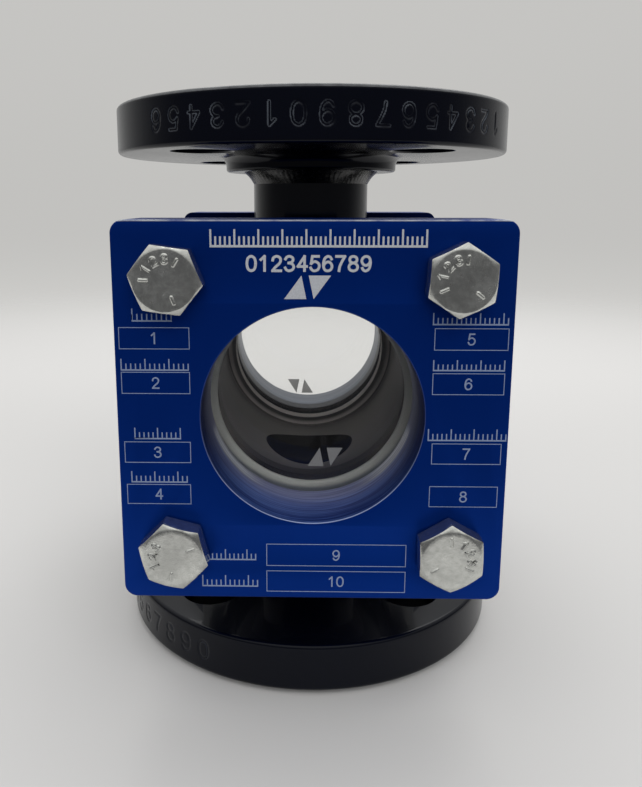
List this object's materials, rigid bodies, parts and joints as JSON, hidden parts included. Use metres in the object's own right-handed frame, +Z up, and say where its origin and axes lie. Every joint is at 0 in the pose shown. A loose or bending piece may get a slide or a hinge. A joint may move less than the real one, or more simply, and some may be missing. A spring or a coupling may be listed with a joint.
{
  "type": "flanged sight glass",
  "caption": "Vertical flanged see-through sight glass: a horizontal drum between two pipe stubs, with glass discs clamped by square cover plates and long through bolts.",
  "frame": {"origin": "centre of the lower flange's raised sealing face, on the flow axis", "axes": "+Z up along the flow axis, towards the upper flange; the windows look along Y and the front cover, with the bolt heads, faces -Y; +X is to the right of someone who faces the front cover"},
  "size_m": [0.11, 0.1394, 0.1504],
  "materials": {
    "black_enamel": "gloss",
    "painted_weld": "gloss, rippled",
    "white_gasket": "matt",
    "clear_glass": "polished",
    "blue_anodised": "satin anodised",
    "zinc_bolt": "bright zinc",
    "zinc_nut": "bright zinc"
  },
  "bodies": {
    "root": {"bottom_flange": "black_enamel", "top_flange": "black_enamel", "bottom_neck": "black_enamel", "top_neck": "black_enamel", "body_tube": "black_enamel", "front_glass_seat": "black_enamel", "rear_glass_seat": "black_enamel", "bottom_hub_weld": "painted_weld", "top_hub_weld": "painted_weld", "bottom_seal_weld": "painted_weld", "top_seal_weld": "painted_weld", "bottom_branch_weld": "painted_weld", "top_branch_weld": "painted_weld", "front_seat_weld": "painted_weld", "rear_seat_weld": "painted_weld", "front_inner_gasket": "white_gasket", "rear_inner_gasket": "white_gasket", "front_outer_gasket": "white_gasket", "rear_outer_gasket": "white_gasket", "front_glass": "clear_glass", "rear_glass": "clear_glass", "front_cover": "blue_anodised", "rear_cover": "blue_anodised", "bolt_top_left": "zinc_bolt", "bolt_top_right": "zinc_bolt", "bolt_bottom_left": "zinc_bolt", "bolt_bottom_right": "zinc_bolt", "nut_top_left": "zinc_nut", "nut_top_right": "zinc_nut", "nut_bottom_left": "zinc_nut", "nut_bottom_right": "zinc_nut"}
  },
  "joints": []
}
